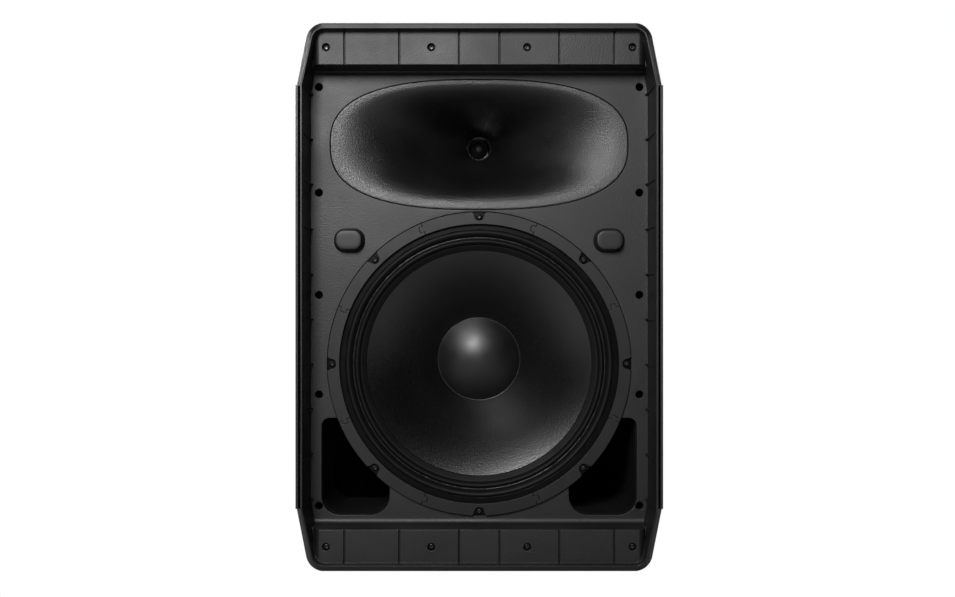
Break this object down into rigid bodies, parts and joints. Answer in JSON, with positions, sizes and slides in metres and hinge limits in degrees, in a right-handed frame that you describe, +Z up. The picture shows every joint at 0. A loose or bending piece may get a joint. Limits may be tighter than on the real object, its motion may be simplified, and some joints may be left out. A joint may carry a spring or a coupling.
{
  "type": "loudspeaker cabinet",
  "caption": "Upright two-way powered loudspeaker cabinet, grille taken off, with a wide horn above a large woofer and corner ports below.",
  "frame": {"origin": "on the floor under the middle of the cabinet's box", "axes": "+Z up, the front with the horn and woofer faces -Y, +X to the right as seen from the front"},
  "size_m": [0.3484, 0.292, 0.527],
  "materials": {
    "shell_plastic": "fine moulded grain, satin",
    "horn_plastic": "coarse spark-eroded grain, satin",
    "rubber": "matt",
    "gasket": "matt pressed foam and paper",
    "screw_steel": "black zinc",
    "cone_paper": "pressed paper pulp",
    "coated_cloth": "doped cloth with a slight shine",
    "painted_metal": "powder coat",
    "plated_steel": "zinc plated",
    "ferrite": "matt",
    "aluminium": "satin",
    "board": "solder resist",
    "lens": "clear green",
    "foam": "open cell foam",
    "lead_jacket": "satin",
    "fitting_plastic": "smooth satin"
  },
  "bodies": {
    "cabinet": {"front_shell": "shell_plastic", "rear_shell": "shell_plastic", "handle_grip": "rubber", "pole_socket": "shell_plastic", "foot_front_right": "rubber", "foot_front_left": "rubber", "foot_rear_right": "rubber", "foot_rear_left": "rubber", "port_duct_right": "shell_plastic", "port_duct_left": "shell_plastic", "grille_bumper_right": "rubber", "grille_bumper_left": "rubber", "horn_waveguide": "horn_plastic", "driver_magnet": "painted_metal", "driver_phase_plug": "aluminium", "driver_cap": "fitting_plastic", "woofer_basket": "painted_metal", "woofer_gasket": "gasket", "woofer_surround": "coated_cloth", "woofer_spider": "coated_cloth", "woofer_top_plate": "plated_steel", "woofer_magnet": "ferrite", "woofer_back_plate": "plated_steel", "woofer_screw_1": "screw_steel", "woofer_screw_2": "screw_steel", "woofer_screw_3": "screw_steel", "woofer_screw_4": "screw_steel", "woofer_screw_5": "screw_steel", "woofer_screw_6": "screw_steel", "woofer_screw_7": "screw_steel", "woofer_screw_8": "screw_steel", "amp_panel": "painted_metal", "amp_heat_sink": "aluminium", "amp_circuit_board": "board", "amp_capacitor_left": "aluminium", "amp_capacitor_right": "aluminium", "amp_transformer": "ferrite", "input_socket_left": "fitting_plastic", "input_socket_right": "fitting_plastic", "link_socket": "fitting_plastic", "mains_inlet": "fitting_plastic", "status_lens": "lens", "acoustic_lining_right": "foam", "acoustic_lining_left": "foam", "woofer_lead": "lead_jacket", "driver_lead": "lead_jacket"},
    "cone_assembly": {"woofer_cone": "cone_paper", "woofer_dust_cap": "cone_paper", "woofer_voice_coil": "aluminium"},
    "diaphragm": {"driver_diaphragm": "aluminium"},
    "knob_1": {"level_knob_1": "fitting_plastic"},
    "knob_2": {"level_knob_2": "fitting_plastic"},
    "knob_3": {"level_knob_3": "fitting_plastic"},
    "rocker": {"power_rocker": "fitting_plastic"},
    "button": {"mode_button": "rubber"},
    "latch_left": {"latch_tab_left": "screw_steel"},
    "latch_right": {"latch_tab_right": "screw_steel"}
  },
  "joints": [
    {"name": "cone_travel", "type": "slide", "parent": "cabinet", "child": "cone_assembly", "axis": [0, -1, 0], "range_m": [-0.008, 0.008], "stiffness_N_per_m": 5200, "deforming": ["woofer_surround", "woofer_spider"]},
    {"name": "diaphragm_travel", "type": "slide", "parent": "cabinet", "child": "diaphragm", "axis": [0, -1, 0], "range_m": [-0.0004, 0.0004], "stiffness_N_per_m": 400},
    {"name": "knob_1_turn", "type": "hinge", "parent": "cabinet", "child": "knob_1", "pos_m": [-0.034, 0.129, 0.3675], "axis": [0, 1, 0], "range_deg": [-150, 150]},
    {"name": "knob_2_turn", "type": "hinge", "parent": "cabinet", "child": "knob_2", "pos_m": [0, 0.129, 0.3675], "axis": [0, 1, 0], "range_deg": [-150, 150]},
    {"name": "knob_3_turn", "type": "hinge", "parent": "cabinet", "child": "knob_3", "pos_m": [0.034, 0.129, 0.3675], "axis": [0, 1, 0], "range_deg": [-150, 150]},
    {"name": "rocker_tip", "type": "hinge", "parent": "cabinet", "child": "rocker", "pos_m": [-0.044, 0.129, 0.1195], "axis": [1, 0, 0], "range_deg": [0, 18]},
    {"name": "button_press", "type": "slide", "parent": "cabinet", "child": "button", "axis": [0, -1, 0], "range_m": [0, 0.0015], "stiffness_N_per_m": 400},
    {"name": "latch_left_press", "type": "slide", "parent": "cabinet", "child": "latch_left", "axis": [0, -1, 0], "range_m": [0, 0.0018], "stiffness_N_per_m": 400},
    {"name": "latch_right_press", "type": "slide", "parent": "cabinet", "child": "latch_right", "axis": [0, -1, 0], "range_m": [0, 0.0018], "stiffness_N_per_m": 400}
  ]
}
